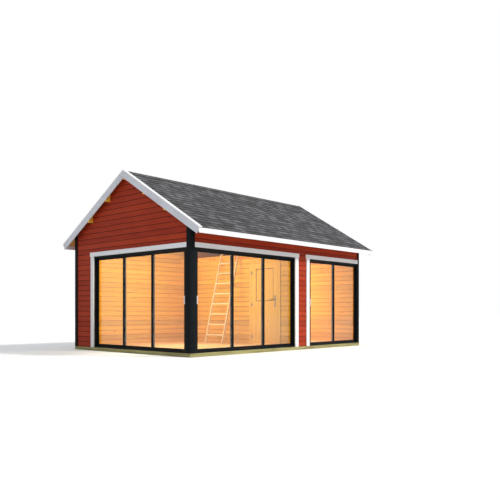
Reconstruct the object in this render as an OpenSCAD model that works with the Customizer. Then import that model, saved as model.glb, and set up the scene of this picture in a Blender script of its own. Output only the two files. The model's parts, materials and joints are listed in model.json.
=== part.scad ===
// Log garden shed with two glazed sides.
// A corner room has sliding glass doors on its front and on its gable, and a
// closed room with sliding doors of its own stands beside it, under one roof.
// Origin: centre of the footprint, at ground level. X runs along the ridge,
// -Y is the front, -X is the glazed gable, +Z is up. Millimetres.

/* [Overall] */
// Length over the corner boards
length = 6065; // [5200:5:7400]
// Depth over the corner boards
depth = 4100; // [3900:5:5000]
// Height of the outer log face under the roof boards
wall_h = 2705; // [2640:5:3250]
// Roof pitch in degrees
pitch = 31; // [25:0.5:38]

/* [Base] */
// Height of the foundation beams
beam_h = 75; // [60:1:120]
// Width of the foundation beams
beam_w = 150; // [140:1:200]
// Width of a floor joist
joist_w = 45; // [40:1:70]
// Number of floor joists between the end beams
joist_count = 9; // [5:1:13]
// Thickness of the floor boards
floor_t = 28; // [18:1:34]

/* [Walls] */
// Thickness of a wall log
log_t = 45; // [34:1:60]
// Thickness of corner boards and door trims
board_t = 20; // [16:1:25]
// Width of the corner boards at the glazed corner
glazed_corner_w = 120; // [90:1:138]
// Width of the corner boards beside the narrow doors
narrow_corner_w = 70; // [66:1:90]
// Width of the other corner boards
plain_corner_w = 90; // [70:1:120]
// Width of the side trims of the doors
side_trim_w = 118; // [80:1:125]
// Height of the head trims of the doors
head_trim_h = 97; // [70:1:110]
// How far a head trim runs past its side trims
head_trim_ear = 25; // [0:1:40]

/* [Sliding doors] */
// Height of the clear opening over the sill ribs
clear_h = 2035; // [1900:5:2100]
// Clear width of a three-panel opening
wide_clear = 3155; // [2700:5:3350]
// Distance from the glazed corner to the narrow opening
narrow_start = 3900; // [3860:5:4100]
// Face width of the frame's jambs
jamb_w = 28; // [20:1:40]
// Height of the frame's sill without its ribs
sill_h = 24; // [20:1:40]
// Height of a running rib
rib_h = 6; // [4:1:10]
// Width of a running rib
rib_w = 8; // [6:1:12]
// Height of the frame's head
head_h = 50; // [45:1:70]
// How much of the head the trim covers
head_cover = 14; // [5:1:20]
// How much of the narrow frame's jamb the trim covers
jamb_cover = 3; // [0:1:20]
// Depth of the frame's lip before the first panel
lip = 9; // [8:1:12]
// Thickness of a panel
panel_t = 28; // [26:1:32]
// Free space between two panels
panel_gap = 9; // [6:1:12]
// Width of stiles and rails
stile_w = 46; // [38:1:60]
// Thickness of the glass
glass_t = 8; // [5:1:14]
// Clearance of a moving panel to its frame
slide_gap = 5; // [5:0.5:8]
// Running clearance of a roller over its rib
roller_gap = 0.3; // [0.2:0.1:0.5]
// Radius of a roller
roller_r = 12; // [9:1:16]
// Height of the top guides
guide_h = 12; // [10:1:16]
// Side clearance of the top guides
guide_gap = 1; // [0.5:0.5:2]
// Height of a door pull
pull_h = 160; // [120:5:220]
// Width of a door pull
pull_w = 25; // [18:1:32]
// Stand-off of a door pull
pull_d = 16; // [10:1:18]
// Height of a pull's middle over the sill ribs
pull_z = 1025; // [900:5:1200]

/* [Inner room] */
// Distance from the glazed gable to the partition
partition_x = 3360; // [3355:5:3600]
// Height of the partition over the foundation beams
partition_h = 2160; // [2110:5:2500]
// Distance from the front to the leaf of the inner door
leaf_y = 565; // [400:5:700]
// Width of the leaf
leaf_w = 840; // [700:5:900]
// Height of the leaf
leaf_h = 1985; // [1850:5:2000]
// Thickness of the leaf
leaf_t = 40; // [34:1:44]
// Width of the leaf's stiles and rails
leaf_stile = 134; // [90:1:150]
// Height of the middle rail's underside over the leaf's foot
mid_rail_z = 913; // [700:1:1100]
// Depth of a panel field in each face of the leaf
field_d = 10; // [4:1:14]
// Clearance around the leaf
leaf_gap = 5; // [5:0.5:8]
// Gap under the leaf
leaf_foot = 12; // [8:1:16]
// Face width of the door's frame
lining_w = 70; // [50:1:90]
// Depth of the door's frame
lining_d = 80; // [70:1:100]
// How far the frame stands out of the logs
lining_proud = 20; // [10:1:20]
// Radius of a hinge knuckle
knuckle_r = 7; // [6:0.5:8]
// Radius of a hinge pin
pin_r = 4; // [3:0.5:5]
// Radial clearance of a hinge pin
pin_gap = 0.05; // [0.03:0.01:0.1]
// Height of a hinge
hinge_h = 78; // [60:3:120]
// Height of the handle's lever over the floor
lever_z = 1100; // [950:5:1200]
// Height of the handle's plate
plate_h = 280; // [200:5:300]
// Width of the handle's plate
plate_w = 38; // [30:1:50]
// Length of the lever
lever_l = 140; // [110:5:150]
// Distance from the leaf's edge to the middle of the handle
lever_y = 80; // [50:1:90]
// Stand-off of the lever
lever_d = 50; // [40:1:65]
// Radius of the lever
lever_r = 9; // [7:0.5:11]

/* [Loft and ladder] */
// Width of a loft joist
loft_joist_w = 45; // [40:1:70]
// Height of a loft joist
loft_joist_h = 95; // [90:5:120]
// Number of loft joists
loft_joist_count = 7; // [5:1:9]
// Thickness of the loft boards
loft_board_t = 20; // [18:1:28]
// How far the loft boards stand past the partition
loft_nosing = 65; // [40:5:90]
// Lean of the ladder in degrees
ladder_lean = 14.5; // [10:0.5:18]
// Distance from the front to the ladder
ladder_y = 1796; // [1750:1:2000]
// Width over the ladder's stiles
ladder_w = 628; // [500:1:700]
// Thickness of a ladder stile
ladder_stile_t = 28; // [22:1:35]
// Depth of a ladder stile
ladder_stile_d = 45; // [40:1:90]
// Height of the first rung over the floor
rung_first = 220; // [180:5:280]
// Distance between rungs
rung_step = 260; // [230:5:290]
// Number of rungs
rung_count = 9; // [7:1:10]
// Height of a rung
rung_t = 28; // [22:1:34]
// Height of the ladder over the loft boards
ladder_over = 280; // [150:10:400]

/* [Roof] */
// Eave overhang to the outer face of the fascia
eave = 340; // [250:5:450]
// Gable overhang to the outer face of the bargeboards
gable_over = 105; // [60:5:200]
// Thickness of the roof boards
roof_board_t = 20; // [16:1:28]
// Thickness of the shingle layer
shingle_t = 10; // [6:1:16]
// Thickness of bargeboards and fascias
barge_t = 20; // [16:1:28]
// Width of a bargeboard
barge_w = 135; // [110:1:160]
// How far the bargeboards' ends pass the fascias
barge_past = 12; // [0:1:25]
// Width of the cap on a bargeboard
cap_w = 90; // [70:1:120]
// Thickness of the cap
cap_t = 18; // [14:1:25]
// How far the cap stands past the bargeboard
cap_past = 5; // [0:1:10]
// Height of a fascia
fascia_h = 98; // [80:1:120]
// Width of purlins and ridge beam
purlin_w = 45; // [40:1:70]
// Height of purlins and ridge beam
purlin_h = 145; // [120:5:170]
// Distance from the ridge to the upper purlins
upper_purlin_y = 665; // [500:5:800]
// Distance from the ridge to the lower purlins
lower_purlin_y = 1345; // [1200:5:1550]
// Width of a ridge cap's side
ridge_cap_w = 150; // [110:5:180]
// Thickness of the ridge cap
ridge_cap_t = 6; // [4:1:10]

/* [Hidden] */
rise = tan(pitch);
slant = cos(pitch);
half_d = depth / 2;
half_l = length / 2;
wall_out = board_t;
wall_in = board_t + log_t;
floor_z = beam_h + floor_t;
ridge_z = wall_h + (half_d - wall_out) * rise;
lay_gap = 0.05; // between two layers of the roof
boards_off = roof_board_t;
shingle_off = boards_off + shingle_t;
cap_off = shingle_off + cap_t;
eave_y = half_d + eave;
board_end = half_l + gable_over - barge_t;
cap_inner = half_l + gable_over + cap_past - cap_w;
purlin_places = [-lower_purlin_y, -upper_purlin_y, upper_purlin_y, lower_purlin_y];

// Sliding doors, along a wall from the glazed corner (u) and inwards (v)
rib_z = beam_h + sill_h + rib_h;
clear_top = rib_z + clear_h;
head_top = clear_top + head_h;
trim_z = clear_top + head_h - head_cover;
track = panel_t + panel_gap;
frame_v = board_t;
first_v = frame_v + lip;
post_w = first_v + 3 * track;
wide_start = post_w + jamb_w;
wide_end = wide_start + wide_clear;
narrow_end = length - wall_in - jamb_w;
narrow_clear = narrow_end - narrow_start;
narrow_trim_end = narrow_start - jamb_w + jamb_cover;
wide_panel_w = (wide_clear + 2 * stile_w - slide_gap) / 3;
narrow_panel_w = (narrow_clear + stile_w - slide_gap) / 2;
wide_step = wide_panel_w - stile_w;
wide_first = wide_start + slide_gap;
wide_second = wide_first + wide_step;
wide_third = wide_end - wide_panel_w;
narrow_first = narrow_start + slide_gap;
narrow_second = narrow_end - narrow_panel_w;
moving_z = rib_z + slide_gap;
moving_h = clear_h - 2 * slide_gap;
guide_w = rib_w;
guide_head_gap = 3;
pull_bar = 5;

// Partition and inner door, from the glazed corner
partition_top = beam_h + partition_h;
lining_x = partition_x - lining_proud;
leaf_z = floor_z + leaf_foot;
leaf_end = leaf_y + leaf_w;
lining_in0 = leaf_y - leaf_gap;
lining_in1 = leaf_end + leaf_gap;
lining_top = leaf_z + leaf_h + leaf_gap;
plate_t = 3;
plate_below = 0.68; // of the plate's height, under the lever
hinge_leaf_t = 2;
hinge_leaf_w = 31;
hinge_off = leaf_gap / 2 + 0.5; // from the axis to a hinge leaf's edge
hinge_third = hinge_h / 3;
hinge_play = 0.3; // between two knuckles, along the pin
hinge_x = lining_x - knuckle_r - hinge_leaf_t / 2;
hinge_y = leaf_end + leaf_gap / 2;
hinge_heights = [170, 966, 1756]; // of the hinges' middles, over the leaf's foot

// Loft and ladder
loft_z = partition_top + loft_joist_h;
loft_top = loft_z + loft_board_t;
loft_edge = partition_x - loft_nosing;
lean_run = tan(ladder_lean);
stile_run = ladder_stile_d / cos(ladder_lean);
ladder_foot = loft_edge - (loft_top - floor_z) * lean_run - stile_run;
ladder_top = loft_top + ladder_over;

// ---- placing ----

// Corner frame: u along X and v along Y from the glazed corner
module at_corner() translate([-half_l, -half_d, 0]) children();

// The same along the gable: u along Y and v along X
module at_gable() at_corner() mirror([1, -1, 0]) children();

// A box from its low and high corners
module box(low, high) translate(low) cube(high - low);

// A (y, z) outline run along X
module along_x(x0, x1) translate([x0, 0, 0]) rotate([90, 0, 90]) linear_extrude(x1 - x0) children();

// Height of the roof boards' underside at a distance from the ridge
function under(y) = ridge_z - abs(y) * rise;

// Everything below the roof boards
module under_roof() along_x(-half_l - gable_over, half_l + gable_over)
    polygon([[-eave_y, 0], [eave_y, 0], [eave_y, under(eave_y)], [0, ridge_z], [-eave_y, under(eave_y)]]);

// ---- base ----

module foundation_long_beams() color("#8a8452")
    for (side = [-1, 1])
        box([-half_l, side * (half_d - beam_w / 2) - beam_w / 2, 0],
            [half_l, side * (half_d - beam_w / 2) + beam_w / 2, beam_h]);

module foundation_joists() color("#8a8452") {
    for (side = [-1, 1])
        box([side * (half_l - beam_w / 2) - beam_w / 2, beam_w - half_d, 0],
            [side * (half_l - beam_w / 2) + beam_w / 2, half_d - beam_w, beam_h]);
    for (i = [1 : joist_count]) {
        x = -half_l + beam_w + (length - 2 * beam_w) * i / (joist_count + 1);
        box([x - joist_w / 2, beam_w - half_d, 0], [x + joist_w / 2, half_d - beam_w, beam_h]);
    }
}

module floor_boards() color("#e3bd86")
    difference() {
        at_corner() box([wall_in, wall_in, beam_h], [length - wall_in, depth - wall_in, floor_z]);
        at_corner() wide_frame_space();
        at_gable() wide_frame_space();
        at_corner() narrow_frame_space();
        at_corner() box([0, 0, 0], [post_w, post_w, floor_z + 1]);
    }

// ---- walls ----

module back_wall() color("#8f2b1d")
    intersection() {
        at_corner() box([wall_in, depth - wall_in, beam_h], [length - wall_in, depth - wall_out, ridge_z]);
        under_roof();
    }

// Logs of a gable between two distances from the front, notched for the roof timbers
module gable_logs(x, y0, y1, z0, z1)
    difference() {
        intersection() {
            at_corner() box([x, y0, z0], [x + log_t, y1, z1]);
            under_roof();
        }
        for (y = purlin_places) timber_space(y);
        timber_space(0);
    }

module right_gable_wall() color("#8f2b1d")
    gable_logs(length - wall_in, wall_out, depth - wall_out, beam_h, ridge_z);

module glazed_gable_pier() color("#8f2b1d")
    gable_logs(wall_out, wide_end + jamb_w, depth - wall_out, beam_h, head_top);

module glazed_gable_upper_wall() color("#8f2b1d")
    gable_logs(wall_out, wall_out, depth - wall_out, head_top, ridge_z);

module front_pier() color("#8f2b1d")
    at_corner() box([wide_end + jamb_w, wall_out, beam_h], [narrow_start - jamb_w, wall_in, head_top]);

module front_upper_wall() color("#8f2b1d")
    intersection() {
        at_corner() box([wall_in, wall_out, head_top], [length - wall_in, wall_in, ridge_z]);
        under_roof();
    }

module corner_post() color("#1c2226")
    at_corner() box([wall_out, wall_out, beam_h], [post_w, post_w, head_top]);

// Two boards that cover a corner, seen from the glazed corner's side
module corner_pair(front_w, side_w) {
    box([0, 0, beam_h], [front_w, board_t, ridge_z]);
    box([0, 0, beam_h], [board_t, side_w, ridge_z]);
}

module corner_boards() color("#1c2226")
    intersection() {
        union() {
            at_corner() corner_pair(glazed_corner_w, glazed_corner_w);
            translate([half_l, -half_d, 0]) mirror([1, 0, 0]) corner_pair(narrow_corner_w, plain_corner_w);
            translate([-half_l, half_d, 0]) mirror([0, 1, 0]) corner_pair(plain_corner_w, plain_corner_w);
            translate([half_l, half_d, 0]) rotate(180) corner_pair(plain_corner_w, plain_corner_w);
        }
        under_roof();
    }

// ---- door trims ----

module head_trims() color("#ececf0") {
    ear = side_trim_w + head_trim_ear;
    at_corner() box([glazed_corner_w, 0, trim_z], [wide_end + ear, board_t, trim_z + head_trim_h]);
    at_gable() box([glazed_corner_w, 0, trim_z], [wide_end + ear, board_t, trim_z + head_trim_h]);
    at_corner() box([narrow_trim_end - ear, 0, trim_z],
                    [length - narrow_corner_w, board_t, trim_z + head_trim_h]);
}

module side_trims() color("#ececf0") {
    at_corner() box([wide_end, 0, beam_h], [wide_end + side_trim_w, board_t, trim_z]);
    at_gable() box([wide_end, 0, beam_h], [wide_end + side_trim_w, board_t, trim_z]);
    at_corner() box([narrow_trim_end - side_trim_w, 0, beam_h], [narrow_trim_end, board_t, trim_z]);
}

// ---- frames of the sliding doors ----

function frame_d(tracks) = tracks * track + lip;

// The space of a whole frame, for what is cut around it
module frame_space(u0, u1, tracks)
    box([u0 - jamb_w, 0, beam_h - 1], [u1 + jamb_w, frame_v + frame_d(tracks), head_top]);

module wide_frame_space() frame_space(wide_start, wide_end, 3);
module narrow_frame_space() frame_space(narrow_start, narrow_end, 2);

module jamb_pair(u0, u1, tracks)
    for (u = [u0 - jamb_w, u1])
        box([u, frame_v, beam_h], [u + jamb_w, frame_v + frame_d(tracks), head_top]);

module frame_head(u0, u1, tracks)
    difference() {
        box([u0, frame_v, clear_top], [u1, frame_v + frame_d(tracks), head_top]);
        for (t = [0 : tracks - 1]) {
            v = first_v + t * track + panel_t / 2;
            box([u0 - 1, v - guide_w / 2 - guide_gap, clear_top - 1],
                [u1 + 1, v + guide_w / 2 + guide_gap, clear_top + guide_h]);
        }
    }

module frame_sill(u0, u1, tracks) {
    box([u0, frame_v, beam_h], [u1, frame_v + frame_d(tracks), beam_h + sill_h]);
    for (t = [0 : tracks - 1]) {
        v = first_v + t * track + panel_t / 2;
        box([u0, v - rib_w / 2, beam_h + sill_h - 1], [u1, v + rib_w / 2, rib_z]);
    }
}

module door_frame_jambs() color("#23282b") {
    at_corner() jamb_pair(wide_start, wide_end, 3);
    at_gable() jamb_pair(wide_start, wide_end, 3);
    at_corner() jamb_pair(narrow_start, narrow_end, 2);
}

module door_frame_heads() color("#23282b") {
    at_corner() frame_head(wide_start, wide_end, 3);
    at_gable() frame_head(wide_start, wide_end, 3);
    at_corner() frame_head(narrow_start, narrow_end, 2);
}

module door_frame_sills() color("#23282b") {
    at_corner() frame_sill(wide_start, wide_end, 3);
    at_gable() frame_sill(wide_start, wide_end, 3);
    at_corner() frame_sill(narrow_start, narrow_end, 2);
}

// ---- panels ----

// Stiles and rails of a panel in a track
module panel_ring(u, w, t, z0, h)
    difference() {
        box([u, first_v + t * track, z0], [u + w, first_v + t * track + panel_t, z0 + h]);
        box([u + stile_w, first_v + t * track - 1, moving_z + stile_w],
            [u + w - stile_w, first_v + t * track + panel_t + 1, moving_z + moving_h - stile_w]);
    }

module pane(u, w, t) {
    v = first_v + t * track + panel_t / 2;
    box([u + stile_w, v - glass_t / 2, moving_z + stile_w],
        [u + w - stile_w, v + glass_t / 2, moving_z + moving_h - stile_w]);
}

module fixed_panel(u, w, t) panel_ring(u, w, t, rib_z, clear_h);

// A panel that runs: rollers below and guides above
module moving_panel(u, w, t) {
    v = first_v + t * track + panel_t / 2;
    panel_ring(u, w, t, moving_z, moving_h);
    for (end = [u + 2 * stile_w, u + w - 2 * stile_w]) {
        translate([end, v + rib_w / 2, rib_z + roller_gap + roller_r])
            rotate([90, 0, 0]) cylinder(h = rib_w, r = roller_r, $fn = 48);
        box([end - stile_w / 2, v - guide_w / 2, moving_z + moving_h - 1],
            [end + stile_w / 2, v + guide_w / 2, clear_top + guide_h - guide_head_gap]);
    }
}

// A bow pull on a panel's first stile
module pull(u) {
    mid = u + stile_w / 2;
    z0 = rib_z + pull_z - pull_h / 2;
    box([mid - pull_w / 2, first_v - pull_d, z0],
        [mid + pull_w / 2, first_v - pull_d + pull_bar, z0 + pull_h]);
    for (z = [z0, z0 + pull_h - pull_d])
        box([mid - pull_w / 2, first_v - pull_d, z], [mid + pull_w / 2, first_v, z + pull_d]);
}

module fixed_panels() color("#23282b") {
    at_corner() fixed_panel(wide_third, wide_panel_w, 2);
    at_gable() fixed_panel(wide_third, wide_panel_w, 2);
    at_corner() fixed_panel(narrow_second, narrow_panel_w, 1);
}

module fixed_glass() color("#bcd0d8", 0.35) {
    at_corner() pane(wide_third, wide_panel_w, 2);
    at_gable() pane(wide_third, wide_panel_w, 2);
    at_corner() pane(narrow_second, narrow_panel_w, 1);
}

module front_outer_panel() color("#23282b") at_corner() moving_panel(wide_first, wide_panel_w, 0);
module front_outer_glass() color("#bcd0d8", 0.35) at_corner() pane(wide_first, wide_panel_w, 0);
module front_outer_pull() color("#c4c8cc") at_corner() pull(wide_first);
module front_middle_panel() color("#23282b") at_corner() moving_panel(wide_second, wide_panel_w, 1);
module front_middle_glass() color("#bcd0d8", 0.35) at_corner() pane(wide_second, wide_panel_w, 1);

module gable_outer_panel() color("#23282b") at_gable() moving_panel(wide_first, wide_panel_w, 0);
module gable_outer_glass() color("#bcd0d8", 0.35) at_gable() pane(wide_first, wide_panel_w, 0);
module gable_outer_pull() color("#c4c8cc") at_gable() pull(wide_first);
module gable_middle_panel() color("#23282b") at_gable() moving_panel(wide_second, wide_panel_w, 1);
module gable_middle_glass() color("#bcd0d8", 0.35) at_gable() pane(wide_second, wide_panel_w, 1);

module narrow_outer_panel() color("#23282b") at_corner() moving_panel(narrow_first, narrow_panel_w, 0);
module narrow_outer_glass() color("#bcd0d8", 0.35) at_corner() pane(narrow_first, narrow_panel_w, 0);
module narrow_outer_pull() color("#c4c8cc") at_corner() pull(narrow_first);

// ---- partition and inner door ----

module partition_logs(y0, y1, z0, z1)
    at_corner() box([partition_x, y0, z0], [partition_x + log_t, y1, z1]);

module partition_back_part() color("#e8b673")
    partition_logs(lining_in1 + lining_w, depth - wall_in, floor_z, partition_top);

module partition_front_part() color("#e8b673")
    partition_logs(wall_in, lining_in0 - lining_w, floor_z, partition_top);

module partition_over_door() color("#e8b673")
    partition_logs(lining_in0 - lining_w, lining_in1 + lining_w, lining_top + lining_w, partition_top);

module inner_door_jambs() color("#ecc48a")
    at_corner() for (y = [lining_in0 - lining_w, lining_in1])
        box([lining_x, y, floor_z], [lining_x + lining_d, y + lining_w, lining_top]);

module inner_door_head() color("#ecc48a")
    at_corner() box([lining_x, lining_in0 - lining_w, lining_top],
                    [lining_x + lining_d, lining_in1 + lining_w, lining_top + lining_w]);

// A field sunk in both faces of the leaf
module leaf_field(z0, z1)
    for (x = [lining_x - 1, lining_x + leaf_t - field_d])
        box([x, leaf_y + leaf_stile, z0], [x + field_d + 1, leaf_end - leaf_stile, z1]);

module inner_door_leaf() color("#ecc48a")
    at_corner() difference() {
        box([lining_x, leaf_y, leaf_z], [lining_x + leaf_t, leaf_end, leaf_z + leaf_h]);
        leaf_field(leaf_z + leaf_stile, leaf_z + mid_rail_z);
        leaf_field(leaf_z + mid_rail_z + leaf_stile, leaf_z + leaf_h - leaf_stile);
    }

// Plate, spindle boss and lever on one face of the leaf
module handle_side() {
    box([-plate_t, -plate_w / 2, -plate_h * plate_below], [0, plate_w / 2, plate_h * (1 - plate_below)]);
    rotate([0, -90, 0]) cylinder(h = lever_d, r = lever_r, $fn = 32);
    translate([-lever_d, 0, 0]) rotate([-90, 0, 0]) cylinder(h = lever_l - lever_r, r = lever_r, $fn = 32);
    translate([-lever_d, 0, 0]) sphere(r = lever_r, $fn = 32);
}

module inner_door_handle() color("#9a9690")
    at_corner() translate([lining_x, leaf_y + lever_y, floor_z + lever_z]) {
        handle_side();
        translate([leaf_t, 0, 0]) mirror([1, 0, 0]) handle_side();
    }

// Half of a hinge on one side of its axis: the leaf on the wood and its root
module hinge_leaf(z0, z1) {
    face = knuckle_r + hinge_leaf_t / 2;
    box([face - hinge_leaf_t, hinge_off, z0], [face, hinge_off + hinge_leaf_w, z1]);
    box([0, hinge_off, z0], [knuckle_r, knuckle_r - 1, z1]);
}

// Pin with its end knuckles, on the frame
module hinge_pins() color("#7d7a75")
    at_corner() for (z = hinge_heights) translate([hinge_x, hinge_y, leaf_z + z - hinge_h / 2]) {
        cylinder(h = hinge_h, r = pin_r, $fn = 48);
        for (k = [0, 2 * hinge_third]) {
            translate([0, 0, k]) cylinder(h = hinge_third, r = knuckle_r, $fn = 48);
            hinge_leaf(k, k + hinge_third);
        }
    }

// Middle knuckle, on the leaf
module hinge_knuckles() color("#7d7a75")
    at_corner() for (z = hinge_heights) translate([hinge_x, hinge_y, leaf_z + z]) {
        high = hinge_third / 2 - hinge_play;
        difference() {
            union() {
                translate([0, 0, -high]) cylinder(h = 2 * high, r = knuckle_r, $fn = 48);
                mirror([0, 1, 0]) hinge_leaf(-high, high);
            }
            translate([0, 0, -hinge_third]) cylinder(h = 2 * hinge_third, r = pin_r + pin_gap, $fn = 48);
        }
    }

// ---- loft and ladder ----

module loft_joists() color("#e8b673")
    at_corner() for (i = [0 : loft_joist_count - 1]) {
        y = wall_in + loft_joist_w / 2 + (depth - 2 * wall_in - loft_joist_w) * i / (loft_joist_count - 1);
        box([partition_x, y - loft_joist_w / 2, partition_top], [length - wall_in, y + loft_joist_w / 2, loft_z]);
    }

module loft_boards() color("#ecc48a")
    at_corner() box([loft_edge, wall_in, loft_z], [length - wall_in, depth - wall_in, loft_top]);

// A leaning bar's outline in (x, z), cut level at both ends
module lean_bar(z0, z1)
    polygon([
        [ladder_foot + (z0 - floor_z) * lean_run, z0],
        [ladder_foot + (z0 - floor_z) * lean_run + stile_run, z0],
        [ladder_foot + (z1 - floor_z) * lean_run + stile_run, z1],
        [ladder_foot + (z1 - floor_z) * lean_run, z1]
    ]);

module along_y(y0, y1) translate([0, y1, 0]) rotate([90, 0, 0]) linear_extrude(y1 - y0) children();

module ladder_stiles() color("#f0cf94")
    at_corner() for (y = [ladder_y, ladder_y + ladder_w - ladder_stile_t])
        along_y(y, y + ladder_stile_t) lean_bar(floor_z, ladder_top);

module ladder_rungs() color("#f0cf94")
    at_corner() for (i = [0 : rung_count - 1]) {
        z = floor_z + rung_first + i * rung_step;
        along_y(ladder_y + ladder_stile_t, ladder_y + ladder_w - ladder_stile_t)
            lean_bar(z - rung_t / 2, z + rung_t / 2);
    }

// ---- roof ----

// The space of a timber along the ridge, up past the roof's underside
module timber_space(y) {
    low = under(abs(y) + purlin_w / 2);
    box([-board_end, y - purlin_w / 2, low - purlin_h], [board_end, y + purlin_w / 2, ridge_z + 1]);
}

// The timber, its top cut to the roof
module roof_timber(y)
    intersection() {
        timber_space(y);
        under_roof();
    }

module ridge_beam() color("#e8b673") roof_timber(0);
module purlins() color("#e8b673") for (y = purlin_places) roof_timber(y);

// Outline of a layer on the front slope: plumb at the ridge and at the eave
module layer(off0, off1, reach)
    polygon([
        [0, ridge_z + off0 / slant], [0, ridge_z + off1 / slant],
        [-reach, under(reach) + off1 / slant], [-reach, under(reach) + off0 / slant]
    ]);

// The same, cut square to the slope at the eave, where its upper corner is at reach
module square_layer(off0, off1, reach) {
    foot = reach - off1 * sin(pitch);
    polygon([
        [0, ridge_z + off0 / slant], [0, ridge_z + off1 / slant],
        [-foot - off1 * sin(pitch), under(foot) + off1 * slant],
        [-foot - off0 * sin(pitch), under(foot) + off0 * slant]
    ]);
}

module front_roof_boards() color("#e8b673")
    along_x(-board_end, board_end) layer(lay_gap, boards_off, eave_y - barge_t);
module back_roof_boards() color("#e8b673") mirror([0, 1, 0]) front_roof_boards();

module front_shingles() color("#4a4a4c")
    along_x(-board_end, board_end) layer(boards_off + lay_gap, shingle_off, eave_y);
module back_shingles() color("#4a4a4c") mirror([0, 1, 0]) front_shingles();

module ridge_cap() color("#4a4a4c") {
    reach = ridge_cap_w * slant;
    low = (shingle_off + lay_gap) / slant;
    high = (shingle_off + ridge_cap_t) / slant;
    along_x(-cap_inner, cap_inner)
        polygon([
            [0, ridge_z + low], [-reach, under(reach) + low], [-reach, under(reach) + high],
            [0, ridge_z + high], [reach, under(reach) + high], [reach, under(reach) + low]
        ]);
}

module eave_fascias() color("#f1efe8") {
    top = under(eave_y) + boards_off / slant;
    for (side = [-1, 1])
        box([-board_end, side * (eave_y - barge_t / 2) - barge_t / 2, top - fascia_h],
            [board_end, side * (eave_y - barge_t / 2) + barge_t / 2, top]);
}

module front_bargeboards() color("#e2e4ea")
    for (x = [-board_end - barge_t, board_end])
        along_x(x, x + barge_t) square_layer(shingle_off - barge_w, shingle_off, eave_y + barge_past);
module back_bargeboards() color("#e2e4ea") mirror([0, 1, 0]) front_bargeboards();

module front_barge_caps() color("#f4f4f4")
    for (x = [-cap_inner - cap_w, cap_inner])
        along_x(x, x + cap_w)
            square_layer(shingle_off + lay_gap, cap_off, eave_y + barge_past + cap_t * sin(pitch));
module back_barge_caps() color("#f4f4f4") mirror([0, 1, 0]) front_barge_caps();

foundation_long_beams();
foundation_joists();
floor_boards();
back_wall();
right_gable_wall();
glazed_gable_pier();
glazed_gable_upper_wall();
front_pier();
front_upper_wall();
corner_post();
corner_boards();
head_trims();
side_trims();
door_frame_jambs();
door_frame_heads();
door_frame_sills();
fixed_panels();
fixed_glass();
front_outer_panel();
front_outer_glass();
front_outer_pull();
front_middle_panel();
front_middle_glass();
gable_outer_panel();
gable_outer_glass();
gable_outer_pull();
gable_middle_panel();
gable_middle_glass();
narrow_outer_panel();
narrow_outer_glass();
narrow_outer_pull();
partition_back_part();
partition_front_part();
partition_over_door();
inner_door_jambs();
inner_door_head();
inner_door_leaf();
inner_door_handle();
hinge_pins();
hinge_knuckles();
loft_joists();
loft_boards();
ladder_stiles();
ladder_rungs();
ridge_beam();
purlins();
front_roof_boards();
back_roof_boards();
front_shingles();
back_shingles();
ridge_cap();
eave_fascias();
front_bargeboards();
back_bargeboards();
front_barge_caps();
back_barge_caps();
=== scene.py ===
# %% [markdown]
# A garden shed of horizontal logs, built round its CAD model. The CAD model gives every
# piece its place, in metres: X along the ridge, -Y the front, -X the glazed gable.
# What the CAD keeps plain is made here: log courses, shingles, ridge shingles and the
# raised fields of the inner door. Everything else gets a finish and keeps its shape.

# %% Load the model
import json
import math
import random

import bpy
from mathutils import Matrix, Vector


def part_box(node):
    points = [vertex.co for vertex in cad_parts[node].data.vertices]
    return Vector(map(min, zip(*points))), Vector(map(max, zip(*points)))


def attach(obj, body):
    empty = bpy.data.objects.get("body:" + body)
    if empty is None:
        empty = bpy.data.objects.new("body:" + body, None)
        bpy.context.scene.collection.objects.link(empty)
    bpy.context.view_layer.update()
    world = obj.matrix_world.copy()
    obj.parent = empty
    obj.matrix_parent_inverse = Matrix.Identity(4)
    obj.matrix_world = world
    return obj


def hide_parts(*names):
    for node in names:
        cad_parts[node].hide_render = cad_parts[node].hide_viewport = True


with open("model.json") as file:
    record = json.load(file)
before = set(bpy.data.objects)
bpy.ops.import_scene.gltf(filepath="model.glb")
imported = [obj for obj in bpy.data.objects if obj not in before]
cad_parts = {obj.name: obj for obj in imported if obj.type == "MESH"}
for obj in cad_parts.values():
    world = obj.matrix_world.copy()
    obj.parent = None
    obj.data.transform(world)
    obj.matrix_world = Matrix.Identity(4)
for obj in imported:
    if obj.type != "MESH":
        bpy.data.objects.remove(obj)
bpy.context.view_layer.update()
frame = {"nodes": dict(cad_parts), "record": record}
record = frame["record"]
bpy.ops.object.select_all(action="DESELECT")

# %% [markdown]
# The view is that of someone standing off the glazed corner, with the eye under a metre
# high and the camera level. A level camera keeps upright edges upright, and the shift
# brings the ridge into the picture.

# %% Camera
EYE = (-11.274, -11.121, 0.886)
bpy.ops.object.camera_add(location=EYE, rotation=(math.radians(90), 0, math.radians(-47.71)))
camera = bpy.context.active_object
camera.data.lens = 44.9
camera.data.sensor_width = 36
camera.data.shift_y = 0.1246
camera.data.clip_end = 200
bpy.context.scene.camera = camera
print("camera at", EYE)

# %% [markdown]
# One broad soft sun stands before the long side, so the glazed gable lies in shade.
# The sky is plain, and looks white where it is seen directly, in glass or in metal.

# %% Light
SUN_FROM = Vector((0.55, -1.0, 0.85))
bpy.ops.object.light_add(type="SUN", rotation=(-SUN_FROM).to_track_quat("-Z", "Y").to_euler())
sun = bpy.context.active_object
sun.data.energy = 2.8
sun.data.angle = math.radians(9)
sun.data.color = (1.0, 0.965, 0.91)
bpy.context.scene.view_settings.view_transform = "Standard"


def add(tree, kind, inputs=None, **settings):
    """Adds a node, with its settings, and its inputs as values or links."""
    node = tree.nodes.new(kind)
    for name, value in settings.items():
        setattr(node, name, value)
    for name, value in (inputs or {}).items():
        if isinstance(value, bpy.types.NodeSocket):
            tree.links.new(value, node.inputs[name])
        else:
            node.inputs[name].default_value = value
    return node


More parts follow.
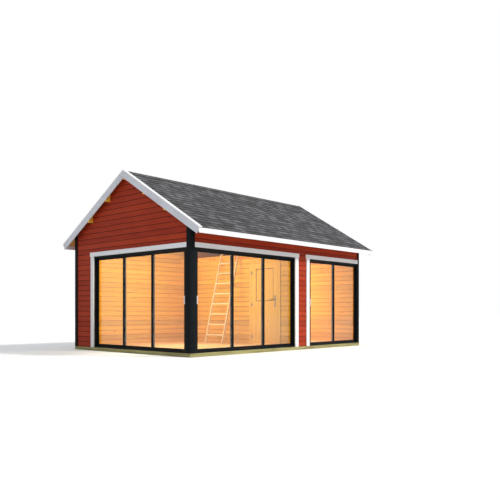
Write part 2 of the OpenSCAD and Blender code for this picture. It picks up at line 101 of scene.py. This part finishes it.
def seen_directly(tree):
    """1 for rays that end in the eye straight, by a reflection or through glass."""
    path = add(tree, "ShaderNodeLightPath").outputs
    straight = {0: path["Is Camera Ray"], 1: path["Is Glossy Ray"]}
    mirrored = add(tree, "ShaderNodeMath", straight, operation="MAXIMUM").outputs[0]
    through = {0: mirrored, 1: path["Is Transmission Ray"]}
    return add(tree, "ShaderNodeMath", through, operation="MAXIMUM").outputs[0]


world = bpy.data.worlds.new("plain_sky")
bpy.context.scene.world = world
world.use_nodes = True
sky = world.node_tree
sky.nodes.clear()
soft = add(sky, "ShaderNodeBackground", {"Color": (0.88, 0.94, 1.0, 1), "Strength": 0.55})
white = add(sky, "ShaderNodeBackground", {"Color": (1, 1, 1, 1), "Strength": 1.0})
both = add(sky, "ShaderNodeMixShader", {0: seen_directly(sky), 1: soft.outputs[0], 2: white.outputs[0]})
add(sky, "ShaderNodeOutputWorld", {"Surface": both.outputs[0]})
print("sun", sun.data.energy)

# %% [markdown]
# Little daylight gets deep into the rooms, so each one has a soft lamp of its own. The
# lamps light the wood, and show neither directly nor in the glass.

# %% Room lamps
LAMP_HEIGHT = 0.66  # as a share of the room's height
ROOMS = {room["name"]: room["box_m"] for room in record["physics"]["openings"]}


def room_lamp(room, watts):
    (x0, y0, z0), (x1, y1, z1) = ROOMS[room]
    middle = ((x0 + x1) / 2, (y0 + y1) / 2, z0 + LAMP_HEIGHT * (z1 - z0))
    bpy.ops.object.light_add(type="POINT", location=middle)
    lamp = bpy.context.active_object
    lamp.name = f"{room}_lamp"
    lamp.data.energy = watts
    lamp.data.shadow_soft_size = 0.5
    lamp.data.color = (1.0, 0.95, 0.82)
    lamp.visible_camera = lamp.visible_glossy = lamp.visible_transmission = False


room_lamp("glazed_room", 135)
room_lamp("closed_room", 95)
print("rooms", list(ROOMS))

# %% [markdown]
# Every finish starts with a colour as a paint card gives it, so one function turns such
# a code into the linear numbers that light is reckoned in.


# %% Colour and finish helpers
def linear(code):
    """An sRGB hex colour as linear numbers."""
    parts = [int(code[i : i + 2], 16) / 255 for i in (0, 2, 4)]
    return tuple(p / 12.92 if p <= 0.04045 else ((p + 0.055) / 1.055) ** 2.4 for p in parts) + (1.0,)


def finish(name):
    """An empty material with a Principled shader: (material, tree, shader)."""
    material = bpy.data.materials.new(name)
    material.use_nodes = True
    tree = material.node_tree
    return material, tree, tree.nodes["Principled BSDF"]


def place(tree, scale=(1, 1, 1)):
    """The point on the piece, in metres times scale."""
    at = add(tree, "ShaderNodeTexCoord").outputs["Object"]
    return add(tree, "ShaderNodeMapping", {"Vector": at, "Scale": scale}).outputs[0]


def stripes(tree, axis, pitch, start, width):
    """(1 in the joint between boards, the board's own number) for boards laid side by side."""
    at = add(tree, "ShaderNodeSeparateXYZ", {0: place(tree)}).outputs[axis]
    moved = add(tree, "ShaderNodeMath", {0: at, 1: start}, operation="SUBTRACT").outputs[0]
    boards = add(tree, "ShaderNodeMath", {0: moved, 1: pitch}, operation="DIVIDE").outputs[0]
    within = add(tree, "ShaderNodeMath", {0: boards}, operation="FRACT").outputs[0]
    number = add(tree, "ShaderNodeMath", {0: boards}, operation="FLOOR").outputs[0]
    joint = add(tree, "ShaderNodeMath", {0: within, 1: width / pitch}, operation="LESS_THAN").outputs[0]
    tone = add(tree, "ShaderNodeTexWhiteNoise", {"W": number}, noise_dimensions="1D").outputs["Value"]
    return joint, tone


LONG, FINE = 1.6, 55
ALONG = {
    "X": (LONG, FINE, FINE),
    "Y": (FINE, LONG, FINE),
    "Z": (FINE, FINE, LONG),
    "level": (LONG, LONG, FINE),
    "slope": (FINE, LONG, LONG),
}
print("grain runs", list(ALONG))

# %% [markdown]
# The logs carry a red wood stain that is nearly opaque. It dries thin, so the grain still
# lifts the surface a little, and each log takes it slightly lighter or darker.

# %% Red wood stain
COURSE = 0.120
JOINT = 0.010
GROOVE = 0.008
BASE_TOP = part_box("back_wall")[0][2]


def red_stain():
    material, tree, shader = finish("red_wood_stain")
    along = place(tree, ALONG["level"])
    grain = add(tree, "ShaderNodeTexNoise", {"Vector": along, "Scale": 1.0, "Detail": 6.0})
    cloud = add(tree, "ShaderNodeTexNoise", {"Vector": place(tree), "Scale": 1.3, "Detail": 3.0})
    joint, tone = stripes(tree, "Z", COURSE, BASE_TOP - JOINT / 2, JOINT)
    mixed = add(tree, "ShaderNodeMath", {0: tone, 1: 0.3, 2: 0.06}, operation="MULTIPLY_ADD").outputs[0]
    streaked = add(tree, "ShaderNodeMath", {0: grain.outputs[0], 1: 0.7, 2: mixed}, operation="MULTIPLY_ADD")
    clouded = {0: cloud.outputs[0], 1: 0.3, 2: streaked.outputs[0]}
    shade = add(tree, "ShaderNodeMath", clouded, operation="MULTIPLY_ADD")
    ramp = add(tree, "ShaderNodeValToRGB", {"Fac": shade.outputs[0]})
    ramp.color_ramp.elements[0].position = 0.35
    ramp.color_ramp.elements[0].color = linear("86220F")
    ramp.color_ramp.elements[1].position = 1.0
    ramp.color_ramp.elements[1].color = linear("B23D1D")
    colour = add(tree, "ShaderNodeMixRGB", {0: joint, 1: ramp.outputs[0], 2: linear("3E120A")})
    tree.links.new(colour.outputs[0], shader.inputs["Base Color"])
    bump = add(tree, "ShaderNodeBump", {"Height": grain.outputs[0], "Strength": 0.35, "Distance": 0.0015})
    tree.links.new(bump.outputs[0], shader.inputs["Normal"])
    shader.inputs["Roughness"].default_value = 0.62
    shader.inputs["Specular IOR Level"].default_value = 0.15
    return material


RED = red_stain()
print(RED.name, "courses of", COURSE)

# %% [markdown]
# Bare pine is pale straw to orange, with darker late wood in long streaks and a knot here
# and there. The streaks are noise drawn out along the board, and the knots are the few
# smallest cells of a stretched cell pattern. Boards laid side by side get a dark joint.


# %% Bare pine
def pine(name, run, light="F4BE46", dark="E6A632", boards=None, seam="95591F"):
    material, tree, shader = finish(name)
    warp = add(tree, "ShaderNodeTexNoise", {"Vector": place(tree), "Scale": 2.2, "Detail": 2.0})
    pushed = {0: 0.25, 1: place(tree, ALONG[run]), 2: warp.outputs["Color"]}
    bent = add(tree, "ShaderNodeMixRGB", pushed, blend_type="ADD").outputs[0]
    grain = add(tree, "ShaderNodeTexNoise", {"Vector": bent, "Scale": 1.0, "Detail": 7.0, "Roughness": 0.62})
    cell_scale = tuple(2.6 if s < 5 else 9.0 for s in ALONG[run])
    cells = add(tree, "ShaderNodeTexVoronoi", {"Vector": place(tree, cell_scale), "Scale": 1.0})
    knots = add(tree, "ShaderNodeValToRGB", {"Fac": cells.outputs["Distance"]})
    knots.color_ramp.elements[0].position = 0.05
    knots.color_ramp.elements[0].color = linear("8A5A2B")
    knots.color_ramp.elements[1].position = 0.13
    knots.color_ramp.elements[1].color = (1, 1, 1, 1)
    ramp = add(tree, "ShaderNodeValToRGB", {"Fac": grain.outputs[0]})
    ramp.color_ramp.elements[0].position = 0.32
    ramp.color_ramp.elements[0].color = linear(dark)
    ramp.color_ramp.elements[1].position = 0.62
    ramp.color_ramp.elements[1].color = linear(light)
    stained = {0: 0.75, 1: ramp.outputs[0], 2: knots.outputs[0]}
    colour = add(tree, "ShaderNodeMixRGB", stained, blend_type="MULTIPLY").outputs[0]
    height = grain.outputs[0]
    if boards:
        axis, pitch, start, width = boards
        joint, tone = stripes(tree, axis, pitch, start, width)
        level = add(tree, "ShaderNodeMath", {0: tone, 1: 0.22, 2: 0.84}, operation="MULTIPLY_ADD").outputs[0]
        toned = add(tree, "ShaderNodeVectorMath", {0: colour, "Scale": level}, operation="SCALE").outputs[0]
        colour = add(tree, "ShaderNodeMixRGB", {0: joint, 1: toned, 2: linear(seam)}).outputs[0]
        height = add(tree, "ShaderNodeMath", {0: height, 1: joint}, operation="SUBTRACT").outputs[0]
    tree.links.new(colour, shader.inputs["Base Color"])
    bump = add(tree, "ShaderNodeBump", {"Height": height, "Strength": 0.3, "Distance": 0.002})
    tree.links.new(bump.outputs[0], shader.inputs["Normal"])
    shader.inputs["Roughness"].default_value = 0.58
    shader.inputs["Specular IOR Level"].default_value = 0.2
    return material


roof_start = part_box("front_roof_boards")[0][0]
floor_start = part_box("floor_boards")[0][1]
ROOF_BOARD, ROOF_SEAM = 0.096, 0.005
FLOOR_BOARD, FLOOR_SEAM = 0.112, 0.004
log_joints = ("Z", COURSE, BASE_TOP - GROOVE / 2, GROOVE)
roof_joints = ("X", ROOF_BOARD, roof_start, ROOF_SEAM)
floor_joints = ("Y", FLOOR_BOARD, floor_start, FLOOR_SEAM)
PINE_LOG = pine("pine_log_planed", "level", boards=log_joints, seam="A9692A")
PINE_X = pine("pine_beam_along_ridge", "X")
PINE_Y = pine("pine_board_across", "Y", boards=roof_joints)
PINE_Z = pine("pine_upright", "Z", light="F6C65C", dark="E9AE40")
PINE_ROOF = pine("pine_roof_boarding", "slope", light="EDB25C", dark="CF8E40", boards=roof_joints)
PINE_FLOOR = pine("pine_floor_boarding", "X", light="F4CE92", dark="DDAA66", boards=floor_joints)
# Darker pine for the rebates round the door fields: painted shade.
PINE_PAINTED_SHADE = pine("pine_rebate_painted_shade", "Z", light="94602A", dark="7A4C1E")
PINE_LADDER = pine("spruce_ladder", "Z", light="F6DEB0", dark="DDB77C")
TREATED = pine("pressure_treated_pine", "level", light="ADA672", dark="6F6A3E")
print("pine finishes made")

# %% [markdown]
# Trims and boards are planed softwood under a full coat of paint. Paint hides the colour
# of the wood and leaves a faint ribbing of the grain, with a low even sheen.


# %% Painted boards
def board_paint(name, code, run, roughness=0.5, spread=0.06, gloss=0.4):
    material, tree, shader = finish(name)
    grain = add(tree, "ShaderNodeTexNoise", {"Vector": place(tree, ALONG[run]), "Scale": 1.0, "Detail": 5.0})
    colour = linear(code)
    dark = tuple(c * (1 - 2 * spread) for c in colour[:3]) + (1,)
    ramp = add(tree, "ShaderNodeValToRGB", {"Fac": grain.outputs[0]})
    ramp.color_ramp.elements[0].position = 0.3
    ramp.color_ramp.elements[0].color = dark
    ramp.color_ramp.elements[1].position = 0.6
    ramp.color_ramp.elements[1].color = colour
    tree.links.new(ramp.outputs[0], shader.inputs["Base Color"])
    bump = add(tree, "ShaderNodeBump", {"Height": grain.outputs[0], "Strength": 0.25, "Distance": 0.0012})
    tree.links.new(bump.outputs[0], shader.inputs["Normal"])
    shader.inputs["Roughness"].default_value = roughness
    shader.inputs["Specular IOR Level"].default_value = gloss
    return material


WHITE_LEVEL = board_paint("white_paint_level_board", "E9E9EC", "level")
WHITE_UPRIGHT = board_paint("white_paint_upright_board", "E9E9EC", "Z")
# The bargeboards' white paint is greyed and blued to its look in shade: painted shade.
BARGE = board_paint("white_paint_bargeboard_painted_shade", "D5D6DE", "slope")
CAP = board_paint("white_paint_barge_cap", "F0F0F1", "slope")
BLACK = board_paint("black_paint_corner_board", "14181B", "Z", roughness=0.6, spread=0.15, gloss=0.05)
print("paints made")

# %% [markdown]
# The sliding doors are aluminium with a fine matt powder coat: a dark plastic skin with
# the slight orange peel of melted powder. Pulls are anodised, hinges and lever are steel.


# %% Metals
def powder_coat():
    material, tree, shader = finish("anthracite_powder_coat")
    peel = add(tree, "ShaderNodeTexNoise", {"Vector": place(tree), "Scale": 700.0, "Detail": 2.0})
    cloud = add(tree, "ShaderNodeTexNoise", {"Vector": place(tree), "Scale": 3.0, "Detail": 3.0})
    ramp = add(tree, "ShaderNodeValToRGB", {"Fac": cloud.outputs[0]})
    ramp.color_ramp.elements[0].color = linear("101315")
    ramp.color_ramp.elements[1].color = linear("1B1F22")
    tree.links.new(ramp.outputs[0], shader.inputs["Base Color"])
    bump = add(tree, "ShaderNodeBump", {"Height": peel.outputs[0], "Strength": 0.12, "Distance": 0.0004})
    tree.links.new(bump.outputs[0], shader.inputs["Normal"])
    shader.inputs["Roughness"].default_value = 0.5
    shader.inputs["Specular IOR Level"].default_value = 0.06
    return material


def satin_metal(name, code, roughness):
    material, tree, shader = finish(name)
    drawn = place(tree, (900, 900, 20))
    brush = add(tree, "ShaderNodeTexNoise", {"Vector": drawn, "Scale": 1.0, "Detail": 2.0})
    limits = {"Value": brush.outputs[0], "To Min": roughness - 0.08, "To Max": roughness + 0.1}
    spread = add(tree, "ShaderNodeMapRange", limits)
    tree.links.new(spread.outputs[0], shader.inputs["Roughness"])
    shader.inputs["Base Color"].default_value = linear(code)
    shader.inputs["Metallic"].default_value = 1.0
    return material


POWDER = powder_coat()
ANODISED = satin_metal("anodised_aluminium", "C9CCD0", 0.36)
STEEL = satin_metal("satin_steel", "A8A49E", 0.34)
print("metals made")

# %% [markdown]
# Float glass is clear with the faintest green, and shows itself by what it mirrors, which
# is little here, so that the rooms show. Light for the room has to pass it unbent, so rays
# that carry shade go straight through.


# %% Window glass
def float_glass():
    material, tree, shader = finish("clear_float_glass")
    shader.inputs["Base Color"].default_value = linear("F2F8F6")
    shader.inputs["Roughness"].default_value = 0.0
    shader.inputs["IOR"].default_value = 1.5
    shader.inputs["Transmission Weight"].default_value = 1.0
    shader.inputs["Specular IOR Level"].default_value = 0.2
    through = add(tree, "ShaderNodeBsdfTransparent", {"Color": linear("F4F9F7")})
    path = add(tree, "ShaderNodeLightPath").outputs
    unseen = {0: path["Is Shadow Ray"], 1: path["Is Diffuse Ray"]}
    carries = add(tree, "ShaderNodeMath", unseen, operation="MAXIMUM")
    chosen = {0: carries.outputs[0], 1: shader.outputs[0], 2: through.outputs[0]}
    mix = add(tree, "ShaderNodeMixShader", chosen)
    tree.links.new(mix.outputs[0], tree.nodes["Material Output"].inputs["Surface"])
    return material


GLASS = float_glass()
print(GLASS.name)

# %% [markdown]
# Bitumen shingles are faced with crushed slate. Each tab is cut from another batch, so
# tabs differ in tone, which every tab carries as a number of its own. A dark band is
# printed under each row above, as laminated shingles have, and it is also painted shade
# for the shade the butts cast, which makes the layers look thick. The grit is a
# millimetre or two wide, and it is drawn five times coarser so that it shows.


# %% Slate-faced shingle
shingle_low, shingle_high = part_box("front_shingles")
roof_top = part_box("front_roof_boards")[1][2]
eave_y = -shingle_low[1]
pitch = math.atan((roof_top - shingle_low[2]) / eave_y)
layer_t = (shingle_high[2] - roof_top) * math.cos(pitch)
slope_length = (eave_y - layer_t * math.sin(pitch)) / math.cos(pitch)
SHOWN = 0.145


def shingle_felt():
    material, tree, shader = finish("slate_faced_shingle")
    grit = add(tree, "ShaderNodeTexVoronoi", {"Vector": place(tree), "Scale": 130.0})
    cloud = add(tree, "ShaderNodeTexNoise", {"Vector": place(tree), "Scale": 5.0, "Detail": 5.0})
    tone = add(tree, "ShaderNodeAttribute", attribute_name="tone").outputs["Fac"]
    gritty = {0: grit.outputs["Color"], 1: 0.3, 2: tone}
    grey = add(tree, "ShaderNodeMath", gritty, operation="MULTIPLY_ADD").outputs[0]
    shade = add(tree, "ShaderNodeMath", {0: cloud.outputs[0], 1: 0.25, 2: grey}, operation="MULTIPLY_ADD")
    ramp = add(tree, "ShaderNodeValToRGB", {"Fac": shade.outputs[0]})
    ramp.color_ramp.elements[0].position = 0.15
    ramp.color_ramp.elements[0].color = linear("202123")
    ramp.color_ramp.elements[1].position = 1.0
    ramp.color_ramp.elements[1].color = linear("6E6E72")
    across = add(tree, "ShaderNodeSeparateXYZ", {0: place(tree)}).outputs["Y"]
    out = add(tree, "ShaderNodeMath", {0: across}, operation="ABSOLUTE").outputs[0]
    turns = 1 / (SHOWN * math.cos(pitch))
    from_eave = {0: out, 1: -turns, 2: slope_length / SHOWN + 2}
    row = add(tree, "ShaderNodeMath", from_eave, operation="MULTIPLY_ADD")
    up = add(tree, "ShaderNodeMath", {0: row.outputs[0]}, operation="FRACT").outputs[0]
    # Each row darkens towards the row above: the printed band, and painted shade under the butts.
    fade = {"Value": up, "From Min": 0.62, "From Max": 0.92, "To Min": 1.0, "To Max": 0.42}
    print_and_shade_band = add(tree, "ShaderNodeMapRange", fade)
    banded = {0: ramp.outputs[0], "Scale": print_and_shade_band.outputs[0]}
    colour = add(tree, "ShaderNodeVectorMath", banded, operation="SCALE")
    tree.links.new(colour.outputs[0], shader.inputs["Base Color"])
    rough = {"Height": grit.outputs["Distance"], "Strength": 0.5, "Distance": 0.002}
    bump = add(tree, "ShaderNodeBump", rough)
    tree.links.new(bump.outputs[0], shader.inputs["Normal"])
    shader.inputs["Roughness"].default_value = 0.92
    return material


SHINGLE = shingle_felt()
print(SHINGLE.name)

# %% [markdown]
# The CAD pieces whose shape is already right take their finish by what they are made of,
# and wood takes the finish whose grain runs along the piece.

# %% Finish the CAD pieces
by_slot = {
    "impregnated_wood": TREATED,
    "floor_pine": PINE_FLOOR,
    "red_logs": RED,
    "black_boards": BLACK,
    "white_boards": WHITE_LEVEL,
    "door_frame_metal": POWDER,
    "window_glass": GLASS,
    "pull_metal": ANODISED,
    "pine": PINE_X,
    "door_fittings": STEEL,
    "roof_shingles": SHINGLE,
}
by_node = {
    "side_trims": WHITE_UPRIGHT,
    "front_bargeboards": BARGE,
    "back_bargeboards": BARGE,
    "front_barge_caps": CAP,
    "back_barge_caps": CAP,
    "inner_door_jambs": PINE_Z,
    "inner_door_leaf": PINE_Z,
    "loft_boards": PINE_Y,
    "ladder_stiles": PINE_LADDER,
    "ladder_rungs": PINE_LADDER,
    "front_roof_boards": PINE_ROOF,
    "back_roof_boards": PINE_ROOF,
}
for row in record["subparts"]:
    node = frame["nodes"][row["node"]]
    node.data.materials.clear()
    node.data.materials.append(by_node.get(row["node"], by_slot[row["material_slot"]]))
print(len(record["subparts"]), "CAD pieces finished")

# %% [markdown]
# Small helpers for modelling: pick one piece, add a box between two corners, apply a
# modifier, and hand a finished piece to its body.


# %% Modelling helpers
def only(piece):
    bpy.ops.object.select_all(action="DESELECT")
    piece.select_set(True)
    bpy.context.view_layer.objects.active = piece


def block(name, low, high, rotation=(0, 0, 0)):
    """A box between two corners, turned about its middle, with its place in its mesh."""
    bpy.ops.object.select_all(action="DESELECT")
    middle = [(a + b) / 2 for a, b in zip(low, high)]
    bpy.ops.mesh.primitive_cube_add(size=1, location=middle, rotation=rotation)
    piece = bpy.context.active_object
    piece.scale = [b - a for a, b in zip(low, high)]
    bpy.ops.object.transform_apply(location=True, rotation=True, scale=True)
    piece.name = name
    return piece


def apply(piece, kind, **settings):
    change = piece.modifiers.new(kind.lower(), kind)
    for name, value in settings.items():
        setattr(change, name, value)
    only(piece)
    bpy.ops.object.modifier_apply(modifier=change.name)


def join(name, pieces):
    """Several pieces as one."""
    only(pieces[0])
    for piece in pieces:
        piece.select_set(True)
    bpy.ops.object.join()
    pieces[0].name = name
    return pieces[0]


def hand_over(piece, body, slot, *replaced):
    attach(piece, body)
    if replaced:
        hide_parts(*replaced)


print("helpers ready")

# %% [markdown]
# A wall is a pile of logs with tongue and groove. Each log has a small chamfer along its
# edges, so a V-shaped groove runs round the shed at every joint. The CAD has the wall as
# one slab with its slopes and notches, so a copy of the slab is grooved with a row of
# square bars turned on edge. Outside it is stained, inside it is bare.

# %% Log walls
FIRST_JOINT = 0.02  # the least height of a wall's first joint over its foot
LAST_JOINT = 0.005  # the least depth of its last joint under its top
BAR_PAST = 0.01  # how far a bar runs past the wall


def groove_bars(along, face, low, high):
    """Bars on edge at every log joint in one face of a wall. along is 0 for X and 1 for Y."""
    across = 1 - along
    first = BASE_TOP + COURSE * math.ceil((low[2] - BASE_TOP + FIRST_JOINT) / COURSE)
    count = int((high[2] - first - LAST_JOINT) / COURSE) + 1
    half = GROOVE / math.sqrt(2)
    start, end = [0, 0, first - half], [0, 0, first + half]
    start[along], end[along] = low[along] - BAR_PAST, high[along] + BAR_PAST
    start[across], end[across] = face - half, face + half
    turn = [0, 0, 0]
    turn[along] = math.radians(45)
    bars = block("bars", start, end, turn)
    apply(bars, "ARRAY", count=count, use_relative_offset=False, use_constant_offset=True,
          constant_offset_displace=(0, 0, COURSE))
    return bars


def log_wall(name, node, along, outside):
    """A wall with its joints grooved. outside is -1 or 1 across the wall, or 0 for a wall indoors."""
    low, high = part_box(node)
    across = 1 - along
    piece = bpy.data.objects.new(name, frame["nodes"][node].data.copy())
    bpy.context.collection.objects.link(piece)
    only(piece)
    bpy.ops.object.mode_set(mode="EDIT")
    bpy.ops.mesh.select_all(action="SELECT")
    bpy.ops.mesh.remove_doubles(threshold=0.00002)
    bpy.ops.mesh.dissolve_limited(angle_limit=math.radians(0.5))
    bpy.ops.object.mode_set(mode="OBJECT")
    for face in (low[across], high[across]):
        bars = groove_bars(along, face, low, high)
        apply(piece, "BOOLEAN", operation="DIFFERENCE", solver="EXACT", object=bars)
        bpy.data.objects.remove(bars, do_unlink=True)
    piece.data.materials.clear()
    for material in (PINE_LOG, RED):
        piece.data.materials.append(material)
    middle = (low[across] + high[across]) / 2
    for polygon in piece.data.polygons:
        polygon.material_index = int((polygon.center[across] - middle) * outside > 0)
    hand_over(piece, "shed", "red_logs" if outside else "pine", node)
    print(name, len(piece.data.polygons), "faces")


log_wall("logs_back_wall", "back_wall", 0, 1)
log_wall("logs_front_pier", "front_pier", 0, -1)
log_wall("logs_front_upper_wall", "front_upper_wall", 0, -1)
log_wall("logs_right_gable", "right_gable_wall", 1, 1)
log_wall("logs_glazed_gable_pier", "glazed_gable_pier", 1, -1)
log_wall("logs_glazed_gable_upper", "glazed_gable_upper_wall", 1, -1)
log_wall("logs_partition_back", "partition_back_part", 1, 0)
log_wall("logs_partition_front", "partition_front_part", 1, 0)
log_wall("logs_partition_over_door", "partition_over_door", 1, 0)

# %% [markdown]
# Laminated shingles are strips a metre long with a second layer of uneven tabs glued on.
# Each row covers the head of the row below. One wedge is modelled, thin at its head and
# thick at its butt, and every strip and tab is a copy of it cut to its own width.

# %% Shingle rows
HIDDEN = 0.040
HEAD_THIN = 0.9  # how much of its thickness a wedge loses at its head
STRIP, STRIP_TONES = 0.58, (0.0, 0.22)  # share of the layer's thickness, and tones
TAB, TAB_TONES = 0.98, (0.0, 0.6)
TAB_WIDTHS, TAB_GAPS, TAB_PAST = (0.12, 0.34), (0.045, 0.15), 0.002
rows = math.ceil(slope_length / SHOWN)
dice = random.Random(7)
print("pitch", round(math.degrees(pitch), 2), "slope", round(slope_length, 3), "rows", rows)


def wedge():
    """One strip of unit width, its head at y 0 and its butt towards -y."""
    piece = block("wedge", (0, -(SHOWN + HIDDEN), 0), (1, 0, layer_t))
    only(piece)
    for vertex in piece.data.vertices:
        vertex.select = vertex.co.z > layer_t / 2 and vertex.co.y > -HIDDEN
    for edge in piece.data.edges:
        edge.select = all(piece.data.vertices[v].select for v in edge.vertices)
    for polygon in piece.data.polygons:
        polygon.select = False
    bpy.ops.object.mode_set(mode="EDIT")
    bpy.ops.transform.translate(value=(0, 0, -HEAD_THIN * layer_t))
    bpy.ops.object.mode_set(mode="OBJECT")
    return piece


def laid(pattern, x0, x1, butt, thickness, tone):
    """A copy of the wedge from x0 to x1, its butt at a distance from the ridge."""
    copy = pattern.copy()
    copy.data = pattern.data.copy()
    length = min(SHOWN + HIDDEN, butt)
    scale = Matrix.Diagonal((x1 - x0, length / (SHOWN + HIDDEN), thickness / layer_t, 1))
    copy.data.transform(Matrix.Translation((x0, length - butt, 0)) @ scale)
    tones = copy.data.attributes.new("tone", "FLOAT", "FACE")
    tones.data.foreach_set("value", [tone] * len(copy.data.polygons))
    bpy.context.collection.objects.link(copy)
    return copy


def shingle_slope(name):
    """A slope's shingles, lying flat with the ridge on X."""
    pattern = wedge()
    pieces = []
    for row in range(rows):
        butt = slope_length - row * SHOWN
        x = shingle_low[0]
        first = dice.uniform(0.2, 1.0)
        while x < shingle_high[0] - 0.001:
            end = min(x + first, shingle_high[0])
            pieces.append(laid(pattern, x, end, butt, STRIP * layer_t, dice.uniform(*STRIP_TONES)))
            x, first = end, 1.0
        x = shingle_low[0] + dice.uniform(0.0, 0.12)
        while x < shingle_high[0] - 0.05:
            end = min(x + dice.uniform(*TAB_WIDTHS), shingle_high[0])
            tone = dice.uniform(*TAB_TONES)
            pieces.append(laid(pattern, x, end, butt + TAB_PAST, TAB * layer_t, tone))
            x = end + dice.uniform(*TAB_GAPS)
    bpy.data.objects.remove(pattern, do_unlink=True)
    slope = join(name, pieces)
    slope.data.materials.clear()
    slope.data.materials.append(SHINGLE)
    return slope


def raise_slope(piece, turned):
    """Tips a flat slope to the roof's pitch, and turns it round for the back."""
    tip = Matrix.Translation((0, 0, roof_top)) @ Matrix.Rotation(pitch, 4, "X")
    piece.data.transform(Matrix.Rotation(math.pi if turned else 0, 4, "Z") @ tip)


for side, turned in (("front", False), ("back", True)):
    slope = shingle_slope(f"{side}_shingle_rows")
    raise_slope(slope, turned)
    hand_over(slope, "shed", "roof_shingles", f"{side}_shingles")
    print(slope.name, len(slope.data.polygons), "faces")

# %% [markdown]
# The ridge is closed with single shingles bent over it, each lapping the one before. One
# is made from a flat plate folded at its middle and thickened, and an array lays the rest.

# %% Ridge shingles
ridge_low, ridge_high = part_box("ridge_cap")
RIDGE_LAPS = 42
lap = (ridge_high[0] - ridge_low[0]) / RIDGE_LAPS
side_reach = ridge_high[1]
cap_t = 0.003
cap_play = 0.0002
bpy.ops.object.select_all(action="DESELECT")
bpy.ops.mesh.primitive_grid_add(x_subdivisions=1, y_subdivisions=2, size=1)
fold = bpy.context.active_object
fold.name = "ridge_shingles"
fold.scale = (lap, 2 * side_reach, 1)
bpy.ops.object.transform_apply(location=True, rotation=True, scale=True)
ridge_edge = ridge_high[2] - cap_t / math.cos(pitch) - cap_play
lift = 0.0027
for vertex in fold.data.vertices:
    drop = abs(vertex.co.y) * math.tan(pitch)
    tilt = 0 if vertex.co.x > 0 else lift
    vertex.co = (vertex.co.x + ridge_low[0] + lap / 2, vertex.co.y, ridge_edge - drop - tilt)
apply(fold, "SOLIDIFY", thickness=cap_t, offset=1)
apply(fold, "ARRAY", count=RIDGE_LAPS, use_relative_offset=False, use_constant_offset=True,
      constant_offset_displace=(lap, 0, 0))
tones = fold.data.attributes.new("tone", "FLOAT", "FACE")
per_lap = len(fold.data.polygons) // RIDGE_LAPS
for index in range(len(fold.data.polygons)):
    tones.data[index].value = 0.1 + 0.35 * ((index // per_lap * 0.618) % 1)
fold.data.materials.append(SHINGLE)
hand_over(fold, "shed", "roof_shingles", "ridge_cap")
print("ridge laps", RIDGE_LAPS, "of", round(lap, 3))

# %% [markdown]
# The inner door is a frame of stiles and rails with a raised field in each opening: flat
# in the middle and sloping to a thin edge. A field is a plate whose face is inset and
# pushed out, made once for the lower opening and once for the upper, on both sides. The
# rebate round it takes a darker pine as painted shade, the shade that lies in the groove.

# %% Raised fields of the inner door
leaf_low, leaf_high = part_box("inner_door_leaf")
STILE = 0.134
MID_RAIL = 0.913
FIELD_DEPTH = 0.010
REBATE = 0.016
FIELD_PLAY = 0.002  # left free round a field
FIELD_SUNK = 0.002  # how deep its plate is set
FIELD_SLOPE, FIELD_RISE = 0.045, 0.006
openings = (
    (leaf_low[2] + STILE, leaf_low[2] + MID_RAIL),
    (leaf_low[2] + MID_RAIL + STILE, leaf_high[2] - STILE),
)


def raised_field(name, x, direction, z0, z1):
    back = x + direction * FIELD_SUNK
    low = (min(x, back), leaf_low[1] + STILE + FIELD_PLAY, z0 + FIELD_PLAY)
    high = (max(x, back), leaf_high[1] - STILE - FIELD_PLAY, z1 - FIELD_PLAY)
    piece = block(name, low, high)
    only(piece)
    for polygon in piece.data.polygons:
        polygon.select = polygon.normal.x * direction > 0.5
    bpy.ops.object.mode_set(mode="EDIT")
    bpy.ops.mesh.select_mode(type="FACE")
    bpy.ops.mesh.inset(thickness=REBATE)
    bpy.ops.mesh.inset(thickness=FIELD_SLOPE)
    bpy.ops.transform.translate(value=(direction * FIELD_RISE, 0, 0))
    bpy.ops.object.mode_set(mode="OBJECT")
    piece.data.materials.append(PINE_Z)
    piece.data.materials.append(PINE_PAINTED_SHADE)
    for polygon in piece.data.polygons:
        in_y = min(polygon.center.y - low[1], high[1] - polygon.center.y)
        in_z = min(polygon.center.z - low[2], high[2] - polygon.center.z)
        # The rebate ring takes the darker pine: painted shade in the groove.
        polygon.material_index = int(min(in_y, in_z) < REBATE)
    hand_over(piece, "inner_door", "pine")


for number, (z0, z1) in enumerate(openings):
    raised_field(f"door_field_{number}_near", leaf_low[0] + FIELD_DEPTH, -1, z0, z1)
    raised_field(f"door_field_{number}_far", leaf_high[0] - FIELD_DEPTH, 1, z0, z1)
print("door fields", len(openings) * 2)

# %% [markdown]
# The floor of the studio is plain and pale, wide enough to meet the white behind it.

# %% Studio floor
bpy.ops.object.select_all(action="DESELECT")
bpy.ops.mesh.primitive_circle_add(radius=90, vertices=64, fill_type="NGON", location=(0, 0, -0.001))
ground = bpy.context.active_object
ground.name = "studio_floor"
pale, tree, shader = finish("pale_studio_floor")
shader.inputs["Base Color"].default_value = linear("EDEDEB")
shader.inputs["Roughness"].default_value = 0.9
glow = add(tree, "ShaderNodeMath", {0: seen_directly(tree), 1: 0.2}, operation="MULTIPLY")
lit = add(tree, "ShaderNodeEmission", {"Color": (1, 1, 1, 1), "Strength": glow.outputs[0]})
total = add(tree, "ShaderNodeAddShader", {0: shader.outputs[0], 1: lit.outputs[0]})
tree.links.new(total.outputs[0], tree.nodes["Material Output"].inputs["Surface"])
ground.data.materials.append(pale)
